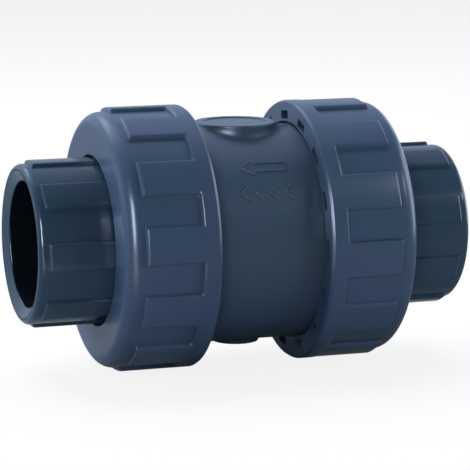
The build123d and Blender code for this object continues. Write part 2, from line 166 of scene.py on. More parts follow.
def ramp(tree, value, start, stop, low=0.0, high=1.0):
    """A soft step: `low` up to `start`, `high` from `stop` on."""
    limits = {"Value": value, "From Min": start, "From Max": stop, "To Min": low, "To Max": high}
    return out(tree, "ShaderNodeMapRange", limits, interpolation_type="SMOOTHSTEP")


def split(tree, vector):
    """The X, Y and Z of a vector."""
    return add(tree, "ShaderNodeSeparateXYZ", {0: vector}).outputs


def join(tree, **axes):
    """A vector from its X, Y and Z; one left out is 0."""
    return out(tree, "ShaderNodeCombineXYZ", axes)


def place_on(tree):
    """Where a point lies on its piece, in metres, for a finish or for a rule."""
    if tree.type == "GEOMETRY":
        return out(tree, "GeometryNodeInputPosition")
    return tree.nodes.new("ShaderNodeTexCoord").outputs["Object"]


# %% [markdown]
# ## The studio
#
# Glossy dark plastic shows its surroundings more than its own colour, so the light is
# designed as what the plastic will mirror. Two tall soft strips stand low at the left and
# right: they draw the thin bright lines on every rounded edge, and are only seen mirrored.
# Most other boxes are never mirrored and only fill, from the front and left, and from high
# behind onto the upward faces. So a highlight can be set without changing the tone beside
# it. The room is dim towards the viewer, which keeps the front faces deep, and pale behind.
# The camera sees plain white, which is a colour in the world and the floor rather than
# extra light on the valve.

# %% Lamps
scene.view_settings.view_transform = "Standard"
DAYLIGHT = (0.75, 0.86, 1.0)  # the cool tint of most of the light
KEY_TINT = (0.67, 0.77, 1.0)  # the tall strip is cooler still
TOP_TINT = (0.78, 0.74, 0.94)  # the light from above leans to violet
LEFT_TINT = (0.80, 0.80, 0.97)  # and so, a little, does the light from the left
KEY_AZIMUTH = -33
KEY_SIZE = (0.22, 0.60)


def softbox(name, azimuth, elevation, distance, size, power, tint=DAYLIGHT, only=None):
    """A soft lamp that faces the valve; `only` mirrored or only diffused, or both."""
    lamp = bpy.data.lights.new(name, "AREA")
    lamp.shape = "RECTANGLE"
    lamp.size, lamp.size_y = size
    lamp.energy = power
    lamp.color = tint
    obj = bpy.data.objects.new(name, lamp)
    obj.location = direction(radians(azimuth), radians(elevation)) * distance
    obj.rotation_euler = (-obj.location).to_track_quat("-Z", "Y").to_euler()
    obj.visible_camera = False
    obj.visible_glossy = only != "diffused"
    obj.visible_diffuse = only != "mirrored"
    scene.collection.objects.link(obj)


softbox("key_strip", KEY_AZIMUTH, 21, 1.0, KEY_SIZE, 11.4, KEY_TINT, only="mirrored")
softbox("key_glow", KEY_AZIMUTH, 21, 1.0, KEY_SIZE, 3.2, only="diffused")
softbox("right_strip", 88, 15, 0.8, (0.44, 0.62), 3.3, only="mirrored")
softbox("right_spot", 45, 36, 1.0, (0.08, 0.16), 1.0, only="mirrored")
softbox("back_right_box", 125, 11, 0.6, (0.30, 0.30), 0.35)
softbox("front_fill", 55, 12, 0.8, (0.5, 0.3), 3.1, only="diffused")
softbox("left_fill", -102, 14, 1.1, (0.8, 0.3), 10.6, LEFT_TINT, only="diffused")
softbox("back_left_box", -150, 38, 0.9, (0.5, 0.3), 0.8)
softbox("top_fill", 180, 60, 1.1, (1.2, 1.0), 32.0, TOP_TINT, only="diffused")

# %% The room
ROOM_FRONT, ROOM_BACK = 0.07, 0.6  # how bright the room is towards each side
ROOM_OVERHEAD = 0.45  # and how much of that is left straight above
SKYLIGHT = direction(radians(198), radians(52))
SKYLIGHT_EDGE, SKYLIGHT_CORE = radians(26), radians(10)
SKYLIGHT_STRENGTH = 0.8

world = bpy.data.worlds.new("studio")
scene.world = world
world.use_nodes = True
tree = world.node_tree
tree.nodes.clear()
way_out = tree.nodes.new("ShaderNodeOutputWorld")
way = tree.nodes.new("ShaderNodeTexCoord").outputs["Generated"]
parts = split(tree, way)
back_to_front = ramp(tree, parts["Y"], -0.3, 0.9, ROOM_FRONT, ROOM_BACK)
overhead = ramp(tree, parts["Z"], 0.25, 0.9, 1.0, ROOM_OVERHEAD)
brightness = times(tree, back_to_front, overhead)
towards = add(tree, "ShaderNodeVectorMath", {0: way, 1: SKYLIGHT}, operation="DOT_PRODUCT")
limits = cos(SKYLIGHT_EDGE), cos(SKYLIGHT_CORE)
skylight = ramp(tree, towards.outputs["Value"], *limits, 0.0, SKYLIGHT_STRENGTH)
brightness = plus(tree, brightness, skylight)
room = out(tree, "ShaderNodeBackground", {"Color": (*DAYLIGHT, 1), "Strength": brightness})
seen = out(tree, "ShaderNodeBackground", {"Color": (1, 1, 1, 1)})
path = tree.nodes.new("ShaderNodeLightPath").outputs
backdrop = out(tree, "ShaderNodeMixShader", {0: path["Is Camera Ray"], 1: room, 2: seen})
tree.links.new(backdrop, way_out.inputs["Surface"])
print("room:", len(tree.nodes), "nodes")

# %% [markdown]
# ## The floor
#
# The floor is one large sheet of matt white paper. Mirrored in the plastic, a plain bright
# floor would wash out every underside, so what the plastic sees of it is painted light given
# by place: a painted glow behind the valve, painted shade between the nuts, and a painted
# pool of light under the tall strip.
# The camera sees it white, with a small share of its true shading, which is the shadow.

# %% The floor
FLOOR_SIZE = 8.0
FLOOR_GAP = 0.2 * MM  # keeps the floor clear of the lowest pad
PAPER = (0.62, 0.62, 0.62, 1)
SHADOW_SHARE = 0.14  # how much of the floor's shading the camera sees
GLOW_FRONT, GLOW_BEHIND, GLOW_FAR, GLOW_BETWEEN = 0.12, 0.46, 0.85, 0.15
POOL_STRENGTH = 2.2
POOL_CORE, POOL_EDGE = radians(7), radians(16)

half = FLOOR_SIZE / 2
level = frame_box[0].z - FLOOR_GAP
floor_mesh = bpy.data.meshes.new("floor")
corners = [(x, y, level) for x, y in ((-half, -half), (half, -half), (half, half), (-half, half))]
floor_mesh.from_pydata(corners, [], [(0, 1, 2, 3)])
floor = bpy.data.objects.new("floor", floor_mesh)
scene.collection.objects.link(floor)
paper = bpy.data.materials.new("floor_paper")
paper.use_nodes = True
floor_mesh.materials.append(paper)
print("floor level:", round(level, 4))

# %% What the floor shows
tree = paper.node_tree
tree.nodes.clear()
way_out = tree.nodes.new("ShaderNodeOutputMaterial")
path = tree.nodes.new("ShaderNodeLightPath").outputs
spot = split(tree, place_on(tree))
away = hypotenuse(tree, spot["X"], spot["Y"])
# painted light, only seen mirrored: a glow behind the valve, shade between the nuts
behind = ramp(tree, spot["Y"], -0.02, 0.05, GLOW_FRONT, GLOW_BEHIND)
behind = times(tree, behind, ramp(tree, away, 0.15, 0.4, 1.0, GLOW_FAR))
sideways = maths(tree, "ABSOLUTE", spot["X"])
between_nuts = ramp(tree, sideways, 22 * MM, 36 * MM, GLOW_BETWEEN, 1.0)
behind = times(tree, behind, between_nuts)
# a painted pool of light under the tall strip
bearing = maths(tree, "ARCTAN2", spot["X"], times(tree, spot["Y"], -1.0))
aside = minus(tree, bearing, radians(KEY_AZIMUTH))
pool = ramp(tree, maths(tree, "ABSOLUTE", aside), POOL_CORE, POOL_EDGE, POOL_STRENGTH, 0.0)
pool = times(tree, pool, ramp(tree, away, 0.11, 0.2))
glow = plus(tree, pool, behind)
mirrored = out(tree, "ShaderNodeEmission", {"Color": (*DAYLIGHT, 1), "Strength": glow})
matt = out(tree, "ShaderNodeBsdfDiffuse", {"Color": PAPER})
bounced = out(tree, "ShaderNodeMixShader", {0: path["Is Glossy Ray"], 1: matt, 2: mirrored})
white = out(tree, "ShaderNodeEmission", {"Strength": 1.0})
share = times(tree, path["Is Camera Ray"], 1 - SHADOW_SHARE)
seen = out(tree, "ShaderNodeMixShader", {0: share, 1: bounced, 2: white})
tree.links.new(seen, way_out.inputs["Surface"])
print("floor paper:", len(tree.nodes), "nodes")

# %% [markdown]
# ## Moulded plastic
#
# Injection-moulded PVC looks plain from far away and is anything but plain close up. The
# colour drifts a little between a cooler and a warmer grey where the melt cooled at
# different speeds, faint streaks follow the way the melt ran along the mould, and the
# polished mould leaves a slight orange-peel waviness with a very fine grain. One group with
# named sockets holds all of this, so every plastic shares it with its own values.

# %% Groups, noise and mixing
FLOAT, COLOUR, VECTOR = "NodeSocketFloat", "NodeSocketColor", "NodeSocketVector"


def new_group(name, inputs, outputs, kind="ShaderNodeTree"):
    """A node group with named sockets, given as {name: (socket type, start value)}."""
    tree = bpy.data.node_groups.new(name, kind)
    for label, (socket_type, value) in inputs.items():
        socket = tree.interface.new_socket(label, in_out="INPUT", socket_type=socket_type)
        if value is not None:
            socket.default_value = value
    for label, socket_type in outputs.items():
        tree.interface.new_socket(label, in_out="OUTPUT", socket_type=socket_type)
    return tree, tree.nodes.new("NodeGroupInput").outputs, tree.nodes.new("NodeGroupOutput")


def put_out(tree, result, **values):
    """The end of a group: what goes to its outputs."""
    for label, value in values.items():
        tree.links.new(value, result.inputs[label])
    print(tree.name, "nodes:", len(tree.nodes))


def noise(tree, where, scale, detail=2.0, rough=0.5):
    """Soft random values between 0 and 1, `scale` cells to the metre."""
    settings = {"Vector": where, "Scale": scale, "Detail": detail, "Roughness": rough}
    return out(tree, "ShaderNodeTexNoise", settings)


def blend(tree, factor, one, other):
    """Two colours mixed by a factor."""
    mixed = {0: factor, 6: one, 7: other}  # the Mix node's colour sockets, by number
    return add(tree, "ShaderNodeMix", mixed, data_type="RGBA").outputs[2]


# %% Group: moulded skin
HUE_CELLS, CLOUD_CELLS, STREAK_CELLS = 26.0, 55.0, 300.0  # to the metre
POLISH_CELLS, PEEL_CELLS, GRAIN_CELLS = 130.0, 420.0, 3600.0
STREAK_STRETCH = 0.22  # streaks are this much slower along the pipe
POLISH_DRIFT = 0.02  # more than this shows as flat blotches in a highlight
GRAIN_SHARE = 0.22  # of the orange peel's height

sockets = {
    "Tone": (COLOUR, (0.03, 0.05, 0.08, 1)),
    "Cool Tone": (COLOUR, (0.03, 0.055, 0.075, 1)),
    "Drift": (FLOAT, 0.2),
    "Roughness": (FLOAT, 0.25),
}
outputs = {"Color": COLOUR, "Roughness": FLOAT, "Height": FLOAT}
tree, given, result = new_group("moulded_skin", sockets, outputs)
place = place_on(tree)
stretch = {"Vector": place, "Scale": (STREAK_STRETCH, 1.0, 1.0)}
along_pipe = out(tree, "ShaderNodeMapping", stretch)
hue = ramp(tree, noise(tree, place, HUE_CELLS), 0.36, 0.64)
tone = blend(tree, hue, given["Tone"], given["Cool Tone"])
clouds = noise(tree, place, CLOUD_CELLS, 3.0)
streaks = noise(tree, along_pipe, STREAK_CELLS, 3.0, 0.6)
unevenness = minus(tree, plus(tree, clouds, streaks), 1.0)
value = plus(tree, times(tree, unevenness, given["Drift"]), 1.0)
tone = out(tree, "ShaderNodeHueSaturation", {"Value": value, "Color": tone})
polish = minus(tree, noise(tree, place, POLISH_CELLS, 3.0), 0.5)
polish = times(tree, polish, POLISH_DRIFT)
roughness = plus(tree, given["Roughness"], polish)
grain = times(tree, noise(tree, place, GRAIN_CELLS), GRAIN_SHARE)
height = plus(tree, noise(tree, place, PEEL_CELLS), grain)
put_out(tree, result, Color=tone, Roughness=roughness, Height=height)

# %% [markdown]
# ## Handling, painted edge sheen and dust
#
# A valve that has been screwed together a few times is burnished along its proudest edges
# and carries a few hairline scratches. The paler edges are partly that burnish and partly a
# painted highlight, a bright line along every edge whatever the lamps. A Bevel node finds
# the edges: it rounds the normal within a small radius, and wherever the rounded normal
# leaves the true one there is an edge. The rounded normal is put out as well, so that a sharp
# corner of a ready part can be shaded as the soft one it really is. Hairlines are the places
# where a stretched noise crosses its middle value, kept only in patches. Dust settles on
# what faces up.

# %% Group: rubbed edges with painted sheen, and hairlines
STILL_FLAT, FULL_EDGE = 0.995, 0.86  # how far the two normals agree
HAIR_CORE, HAIR_EDGE = 0.0012, 0.0045  # how far the noise is from its middle
HAIRS = ((0.5, 9.0, 95.0), (-0.8, 7.0, 120.0), (1.9, 11.0, 80.0))  # turn, stretch, cells
PATCH_SHARE = 0.8  # cells of the patches, to those of the hairs

sockets = {"Edge Radius": (FLOAT, 0.6 * MM), "Edge Wear": (FLOAT, 0.5), "Hairlines": (FLOAT, 0.5)}
outputs = {"Edge": FLOAT, "Hairline": FLOAT, "Rounded": VECTOR}
tree, given, result = new_group("handling_wear", sockets, outputs)
place = place_on(tree)
true_normal = tree.nodes.new("ShaderNodeNewGeometry").outputs["Normal"]
round_normal = out(tree, "ShaderNodeBevel", {"Radius": given["Edge Radius"]}, samples=4)
normals = {0: true_normal, 1: round_normal}
turned_by = add(tree, "ShaderNodeVectorMath", normals, operation="DOT_PRODUCT")
# the edge mask: partly rubbed by handling, partly a painted highlight on every edge
edge = ramp(tree, turned_by.outputs["Value"], STILL_FLAT, FULL_EDGE)
patchy = ramp(tree, noise(tree, place, 240.0, 4.0, 0.65), 0.42, 0.62)
edge = times(tree, times(tree, edge, patchy), given["Edge Wear"])
hairline = 0.0
for turn, stretch, cells in HAIRS:
    settings = {"Rotation": (turn, 0.6 * turn, turn), "Scale": (1.0, stretch, 1.0)}
    turned_place = out(tree, "ShaderNodeMapping", {"Vector": place, **settings})
    from_middle = minus(tree, noise(tree, turned_place, cells, 1.0), 0.5)
    line = ramp(tree, maths(tree, "ABSOLUTE", from_middle), HAIR_CORE, HAIR_EDGE, 1.0, 0.0)
    kept = ramp(tree, noise(tree, turned_place, cells * PATCH_SHARE, 1.0), 0.60, 0.68)
    hairline = maths(tree, "MAXIMUM", hairline, times(tree, line, kept))
hairline = times(tree, hairline, given["Hairlines"])
put_out(tree, result, Edge=edge, Hairline=hairline, Rounded=round_normal)

# %% Group: settled dust
FILM_CELLS, SPECK_CELLS = 70.0, 1500.0  # to the metre
FILM_SHARE = 0.35

tree, given, result = new_group("settled_dust", {"Amount": (FLOAT, 0.3)}, {"Mask": FLOAT})
coordinates = tree.nodes.new("ShaderNodeTexCoord").outputs
facing_up = ramp(tree, split(tree, coordinates["Normal"])["Z"], 0.3, 0.95)
film = noise(tree, coordinates["Object"], FILM_CELLS, 4.0, 0.7)
film = times(tree, film, FILM_SHARE)
specks = ramp(tree, noise(tree, coordinates["Object"], SPECK_CELLS, 1.0), 0.70, 0.78)
settled = times(tree, facing_up, plus(tree, film, specks))
put_out(tree, result, Mask=times(tree, settled, given["Amount"]))

# %% [markdown]
# ## The plastics
#
# Each plastic is a Principled shader fed by the three groups. Worn edges are a little paler
# and smoother, partly rubbed and partly a painted highlight; hairlines are paler and cut in,
# dust paler and matt. The nuts are a bluer batch than the barrel and the sockets, as
# separately moulded parts often are. Hardly any light gets into the sockets' bores and the
# nuts' pockets, so the plastic in there is darkened by its place on the piece, a painted
# shade, and in the pockets it is matt as well.

# %% Starting a finish
finishes = {}


def new_finish(name, specular, **fixed):
    """A material with a Principled shader; fixed values go on its own sockets."""
    made = bpy.data.materials.new(name)
    made.use_nodes = True
    shader = made.node_tree.nodes["Principled BSDF"]
    shader.inputs["Specular IOR Level"].default_value = specular
    for label, value in fixed.items():
        shader.inputs[label.replace("_", " ")].default_value = value
    finishes[name] = made
    return made.node_tree, shader.inputs


def use(tree, name, **values):
    """A group placed in a material, with its own values; a name's spaces are underscores."""
    placed = add(tree, "ShaderNodeGroup", node_tree=bpy.data.node_groups[name])
    for label, value in values.items():
        placed.inputs[label.replace("_", " ")].default_value = value
    return placed.outputs


def coat(tree, shader, colour, roughness, height, depth, strength=0.5):
    """A finish's colour, roughness and fine relief, with the relief's depth in metres."""
    tree.links.new(colour, shader["Base Color"])
    tree.links.new(roughness, shader["Roughness"])
    settings = {"Strength": strength, "Distance": depth, "Height": height}
    bump = add(tree, "ShaderNodeBump", settings)
    tree.links.new(bump.outputs[0], shader["Normal"])
    print([*finishes][-1], "nodes:", len(tree.nodes))
    return bump


def painted_shade_mask(tree, shade):
    """1 within (least, most) along the pipe and (least, most) from its axis, else 0."""
    place = split(tree, place_on(tree))
    along = maths(tree, "ABSOLUTE", place["X"])
    radius = hypotenuse(tree, place["Y"], place["Z"])
    inside = 1.0
    for value, (least, most) in zip((along, radius), shade):
        inside = times(tree, maths(tree, "GREATER_THAN", value, least), inside)
        inside = times(tree, maths(tree, "LESS_THAN", value, most), inside)
    return inside


# %% One moulded plastic
SPECULAR, DRIFT, HAIRLINES = 0.55, 0.15, 0.08
WORN_RADIUS = 0.6 * MM
EDGE_SHOWS, HAIRLINE_SHOWS, DUST_SHOWS = 0.35, 0.25, 0.35  # in the colour
EDGE_POLISH, DUST_MATT = 0.06, 0.4  # in the roughness
# the paler edge tone is partly rubbed plastic, partly a painted highlight
PALE_GAIN, PALE_LIFT = 2.6, 0.05  # from a plastic's tone to its worn tone
DUST_COLOUR = (0.42, 0.41, 0.39, 1)
# how dark the painted shade in a depth is
DARKNESS = 0.9  # of a shaded depth
SKIN_RELIEF, RELIEF_STRENGTH, HAIRLINE_CUT = 0.03 * MM, 0.35, 0.1


def plastic(name, tone, cool, rough, edge_wear_and_sheen=0.5, dust=0.05, edges=None, shade=None, matt=0.0):
    """Moulded plastic; `edges` rounds corners, `shade` paints shade into a depth, `matt` dulls
    it.
    """
    tree, shader = new_finish(name, SPECULAR)
    tones = {"Tone": (*tone, 1), "Cool_Tone": (*cool, 1)}
    skin = use(tree, "moulded_skin", Drift=DRIFT, Roughness=rough, **tones)
    wear_and_sheen_settings = {"Edge_Radius": edges or WORN_RADIUS, "Edge_Wear": edge_wear_and_sheen, "Hairlines": HAIRLINES}
    wear_and_sheen = use(tree, "handling_wear", **wear_and_sheen_settings)
    dusty = use(tree, "settled_dust", Amount=dust)["Mask"]
    colour = skin["Color"]
    # painted shade: where little light reaches, the colour is darkened by its place
    if shade:
        inside = painted_shade_mask(tree, shade)
        colour = blend(tree, times(tree, inside, DARKNESS), colour, (0, 0, 0, 1))
    # paler edges: partly rubbed, partly a painted highlight
    worn_and_sheen_edge = times(tree, wear_and_sheen["Edge"], EDGE_SHOWS)
    cut = times(tree, wear_and_sheen["Hairline"], HAIRLINE_SHOWS)
    pale = [value * PALE_GAIN + PALE_LIFT for value in tone]
    colour = blend(tree, maths(tree, "MAXIMUM", worn_and_sheen_edge, cut), colour, (*pale, 1))
    colour = blend(tree, times(tree, dusty, DUST_SHOWS), colour, DUST_COLOUR)
    polished = times(tree, wear_and_sheen["Edge"], EDGE_POLISH)
    roughness = minus(tree, skin["Roughness"], polished)
    dulled = times(tree, dusty, DUST_MATT)
    roughness = plus(tree, roughness, dulled, clamp=True)
    if matt:
        roughness = maths(tree, "MAXIMUM", roughness, times(tree, inside, matt))
    height = minus(tree, skin["Height"], times(tree, wear_and_sheen["Hairline"], HAIRLINE_CUT))
    bump = coat(tree, shader, colour, roughness, height, SKIN_RELIEF, RELIEF_STRENGTH)
    if edges:
        tree.links.new(wear_and_sheen["Rounded"], bump.inputs["Normal"])


# %% The four plastics
# depths that get painted shade: (along the pipe, from its axis)
BORE_SHADE = ((0.0, 90 * MM), (0.0, 25.3 * MM))
POCKET_SHADE = ((25.7 * MM, 40 * MM), (44.6 * MM, 49.4 * MM))

barrel_tones = (0.033, 0.059, 0.088), (0.031, 0.061, 0.085)
socket_tones = (0.025, 0.046, 0.070), (0.023, 0.048, 0.067)
nut_tones = (0.037, 0.064, 0.106), (0.036, 0.064, 0.099)
inner_tones = (0.030, 0.042, 0.055), (0.028, 0.044, 0.055)
plastic("body_plastic", *barrel_tones, 0.35, edge_wear_and_sheen=0.9, edges=1.1 * MM)
plastic("connector_plastic", *socket_tones, 0.17, shade=BORE_SHADE)
plastic("nut_plastic", *nut_tones, 0.285, shade=POCKET_SHADE, matt=0.8)
plastic("inner_plastic", *inner_tones, 0.32, edge_wear_and_sheen=0.3, dust=0.0, edges=0.4 * MM)
print("plastics:", len(finishes))

# %% [markdown]
# ## Steel, rubber and PTFE
#
# The stem, its nut and the washers are turned stainless steel: a lathe leaves fine rings
# round the pipe axis, so the pattern is noise that only depends on the distance along and
# away from the axis. The seals are matt black rubber with a faint grey bloom. The bush is
# waxy white PTFE with its own faint lathe rings.

# %% Group: lathe rings
tree, given, result = new_group("lathe_rings", {"Rings": (FLOAT, 4000.0)}, {"Value": FLOAT})
place = split(tree, place_on(tree))
ring_place = join(tree, X=place["X"], Y=hypotenuse(tree, place["Y"], place["Z"]))
put_out(tree, result, Value=noise(tree, ring_place, given["Rings"], 3.0))

# %% Steel
tree, shader = new_finish("stainless", 0.5, Metallic=1.0)
rings = use(tree, "lathe_rings", Rings=5200.0)["Value"]
wear_and_sheen = use(tree, "handling_wear", Edge_Radius=0.3 * MM, Hairlines=0.6)
colour = blend(tree, rings, (0.50, 0.49, 0.47, 1), (0.66, 0.65, 0.63, 1))
# paler steel edges: partly rubbed, partly a painted highlight
colour = blend(tree, wear_and_sheen["Edge"], colour, (0.80, 0.79, 0.77, 1))
roughness = ramp(tree, rings, 0.2, 0.8, 0.20, 0.36)
coat(tree, shader, colour, roughness, minus(tree, rings, wear_and_sheen["Hairline"]), 0.01 * MM)

# %% Rubber
tree, shader = new_finish("seal_rubber", 0.35)
place = place_on(tree)
bloom = ramp(tree, noise(tree, place, 180.0, 4.0, 0.65), 0.45, 0.75)
colour = blend(tree, bloom, (0.012, 0.012, 0.013, 1), (0.032, 0.032, 0.034, 1))
roughness = maths(tree, "MULTIPLY_ADD", bloom, 0.15, 0.48)
coat(tree, shader, colour, roughness, noise(tree, place, 2600.0), 0.02 * MM)

# %% PTFE
tree, shader = new_finish("bush_plastic", 0.4, Subsurface_Weight=0.15, Subsurface_Scale=2 * MM)
rings = use(tree, "lathe_rings", Rings=3000.0)["Value"]
cloud = noise(tree, place_on(tree), 150.0, 3.0)
colour = blend(tree, cloud, (0.80, 0.80, 0.77, 1), (0.70, 0.69, 0.65, 1))
roughness = maths(tree, "MULTIPLY_ADD", rings, 0.2, 0.35)
coat(tree, shader, colour, roughness, rings, 0.01 * MM, 0.4)

# %% Finishes on the ready parts
slot_of = {part["node"]: part["material_slot"] for part in frame["record"]["subparts"]}
for name, obj in nodes.items():
    obj.data.materials.clear()
    obj.data.materials.append(finishes[slot_of[name]])
print("parts with their finish:", len(nodes))

# %% [markdown]
# ## From outline to solid
#
# Nuts and sockets are bodies of revolution, so each starts as half an outline swung round
# the pipe. On the real mould every outer corner is rounded, and it is these small roundings
# that catch the light. The outline function turns a short list of corners, each with its
# rounding, into points with true arcs. A flat face next to an arc would shade as if it were
# bulging, so one extra line is held close to each end of the arc.

# %% Outlines and turned solids
ARC_STEP = radians(10)
HOLD = 0.25 * MM  # how far from an arc the extra line lies


def outline_of(corners):
    """Points of a closed (x, r) outline; a third number on a corner is its rounding."""
    points = []
    for number, (x, r, *rounding) in enumerate(corners):
        here = Vector((x, r))
        if not rounding:
            points.append(here)
            continue
        before = (Vector(corners[number - 1][:2]) - here).normalized()
        after = (Vector(corners[(number + 1) % len(corners)][:2]) - here).normalized()
        turn = math.pi - before.angle(after)
        reach = rounding[0] * math.tan(turn / 2)
        middle = here + (before + after).normalized() * (rounding[0] / cos(turn / 2))
        spoke = here + before * reach - middle
        way = math.copysign(turn, -before.cross(after))
        steps = max(3, round(turn / ARC_STEP))
        points.append(here + before * (reach + HOLD))
        points += [middle + Matrix.Rotation(way * k / steps, 2) @ spoke for k in range(steps + 1)]
        points.append(here + after * (reach + HOLD))
    return points


def face_outwards(mesh):
    """Turns every face of a closed mesh outwards."""
    work = bmesh.new()
    work.from_mesh(mesh)
    bmesh.ops.recalc_face_normals(work, faces=work.faces)
    work.to_mesh(mesh)
    work.free()
    return mesh


def turned(points, angles, side):
    """The outline swung round the pipe, with a line at each angle; side -1 is its mirror."""
    swing = [(cos(angle), sin(angle)) for angle in angles]
    verts = [(side * x, r * c, r * s) for c, s in swing for x, r in points]
    size, rings = len(points), len(angles)
    faces = []
    for ring in range(rings):
        here, there = ring * size, (ring + 1) % rings * size
        around = [(i, (i + 1) % size) for i in range(size)]
        faces += [(here + i, here + j, there + j, there + i) for i, j in around]
    mesh = bpy.data.meshes.new("blank")
    mesh.from_pydata(verts, [], faces)
    return face_outwards(mesh)


# %% [markdown]
# ## Moulded grips, as a rule
#
# Both the nuts and the sockets have raised pads for a wrench. Cutting them with booleans
# would leave razor-sharp steps, and a mould can't make those. Here a Geometry Nodes rule
# lifts the skin instead. For every point it works out how far it lies outside the nearest
# pad, with a formula for the distance to a rounded rectangle, and raises it so that the
# pad's edge is a quarter round. The nuts' pads grow out of a plain band at the mouth, which
# is one more distance, joined with a smooth minimum so that the inner corners get the small
# radius of a cutter.

# %% Helpers for rules


def rule(name, **numbers):
    """A Geometry Nodes tree that takes a mesh, a finish and named numbers."""
    inputs = {"Geometry": ("NodeSocketGeometry", None), "Finish": ("NodeSocketMaterial", None)}
    inputs |= {label.replace("_", " "): (FLOAT, value) for label, value in numbers.items()}
    return new_group(name, inputs, {"Geometry": "NodeSocketGeometry"}, "GeometryNodeTree")


def polar(tree, bearing, radius):
    """The two legs of a radius at a bearing."""
    return [times(tree, maths(tree, way, bearing), radius) for way in ("COSINE", "SINE")]


def move(tree, geometry, **how):
    """The geometry with its points moved, by Selection, Position or Offset."""
    return out(tree, "GeometryNodeSetPosition", {"Geometry": geometry, **how})


def close_rule(tree, given, result, geometry):
    """The end of every rule: real geometry only, with its finish on it."""
    real = out(tree, "GeometryNodeRealizeInstances", {0: geometry})
    coated = out(tree, "GeometryNodeSetMaterial", {0: real, "Material": given["Finish"]})
    put_out(tree, result, Geometry=coated)


def by_rule(rule_name, mesh, finish, **numbers):
    """The plain mesh that a rule makes from a mesh, a finish and its own numbers."""
    holder = bpy.data.objects.new(rule_name, mesh)
    scene.collection.objects.link(holder)
    worker = holder.modifiers.new(rule_name, "NODES")
    worker.node_group = bpy.data.node_groups[rule_name]
    sockets = {item.name: item.identifier for item in worker.node_group.interface.items_tree}
    worker[sockets["Finish"]] = finishes[finish]
    for label, value in numbers.items():
        worker[sockets[label.replace("_", " ")]] = float(value)
    ready = holder.evaluated_get(bpy.context.evaluated_depsgraph_get())
    made = bpy.data.meshes.new_from_object(ready)
    bpy.data.objects.remove(holder)
    return made


def piece(name, mesh, body, finish, sharp_from, replaced=()):
    """A mesh as a piece that rides on a body, sharp from an angle, in place of named nodes."""
    mesh.name = name
    mesh.materials.clear()
    mesh.materials.append(finishes[finish])
    mesh.shade_smooth()
    mesh.set_sharp_from_angle(angle=radians(sharp_from))
    made = bpy.data.objects.new(name, mesh)
    scene.collection.objects.link(made)
    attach(made, body)
    if replaced:
        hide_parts(*replaced)
    print(name, "faces:", len(mesh.polygons))
    return made


# %% Rule: raised pads
SKIN_SLACK = 1.6 * MM  # points further from the skin than this belong to other walls

tree, given, result = rule(
    "raised_pads",
    Pitch=radians(30), Turn=0.0, Half_Width=radians(8), Pad_End=0.05, Band_End=0.03,
    Skin=0.05, Height=0.0017, Edge=0.0013, Corner=0.0005, Blend=0.0008,
)
here = split(tree, place_on(tree))
along = maths(tree, "ABSOLUTE", here["X"])
radius = hypotenuse(tree, here["Y"], here["Z"])
bearing = maths(tree, "ARCTAN2", here["Z"], here["Y"])
half_pitch = maths(tree, "DIVIDE", given["Pitch"], 2.0)
from_turn = minus(tree, bearing, given["Turn"])
folded = maths(tree, "WRAP", from_turn, half_pitch, times(tree, half_pitch, -1.0))
past_side = minus(tree, maths(tree, "ABSOLUTE", folded), given["Half Width"])
across = times(tree, past_side, given["Skin"])
beyond = minus(tree, along, given["Pad End"])
grown = [plus(tree, value, given["Corner"]) for value in (across, beyond)]
round_corner = hypotenuse(tree, *[maths(tree, "MAXIMUM", value, 0.0) for value in grown])
inside = maths(tree, "MINIMUM", maths(tree, "MAXIMUM", *grown), 0.0)
to_pad = minus(tree, plus(tree, round_corner, inside), given["Corner"])
to_band = minus(tree, along, given["Band End"])
distance = maths(tree, "SMOOTH_MIN", to_pad, to_band, given["Blend"])
into_edge = plus(tree, maths(tree, "DIVIDE", distance, given["Edge"]), 1.0, clamp=True)
fallen = times(tree, into_edge, into_edge)
quarter_round = maths(tree, "SQRT", minus(tree, 1.0, fallen, clamp=True))
lift = times(tree, quarter_round, given["Height"])
y, z = polar(tree, bearing, lift)
near_skin = maths(tree, "COMPARE", radius, given["Skin"], SKIN_SLACK)
lifted = move(tree, given["Geometry"], Selection=near_skin, Offset=join(tree, Y=y, Z=z))
close_rule(tree, given, result, lifted)

# %% [markdown]
# ## Pockets in the nuts
#
# The face of each nut that looks towards the barrel has a ring of deep pockets, left by pins
# in the mould to keep the plastic wall even. The rule draws one pin, a rounded rectangle
# pushed along the pipe, places it on a ring of points and subtracts all of them at once.

# %% Rule: pin pockets
WELD = 0.01 * MM

tree, given, result = rule(
    "pin_pockets",
    Pockets=15.0, Turn=0.0, Ring=0.047, Radial_Size=0.0034, Round_Size=0.0078,
    Corner=0.0006, From=0.02, To=0.036,
)
sizes = {"Width": given["Radial Size"], "Height": given["Round Size"]}
shape = out(tree, "GeometryNodeCurvePrimitiveQuadrilateral", sizes)
easing = {"Curve": shape, "Count": 3, "Radius": given["Corner"]}
eased = out(tree, "GeometryNodeFilletCurve", easing, mode="POLY")
plate = out(tree, "GeometryNodeFillCurve", {"Curve": eased}, mode="NGONS")
length = minus(tree, given["To"], given["From"])
walls = out(tree, "GeometryNodeExtrudeMesh", {"Mesh": plate, "Offset Scale": length})
closed = add(tree, "GeometryNodeJoinGeometry")
for part in (walls, out(tree, "GeometryNodeFlipFaces", {0: plate})):
    tree.links.new(part, closed.inputs[0])
welding = {"Geometry": closed.outputs[0], "Distance": WELD}
pin = out(tree, "GeometryNodeMergeByDistance", welding)
quarter = radians(90)
laying = {"Geometry": pin, "Rotation": (quarter, 0.0, quarter)}
pin = out(tree, "GeometryNodeTransform", laying)
count = out(tree, "FunctionNodeFloatToInt", {0: given["Pockets"]})
step = maths(tree, "DIVIDE", radians(360), given["Pockets"])
number = out(tree, "GeometryNodeInputIndex")
turn = plus(tree, times(tree, number, step), given["Turn"])
y, z = polar(tree, turn, given["Ring"])
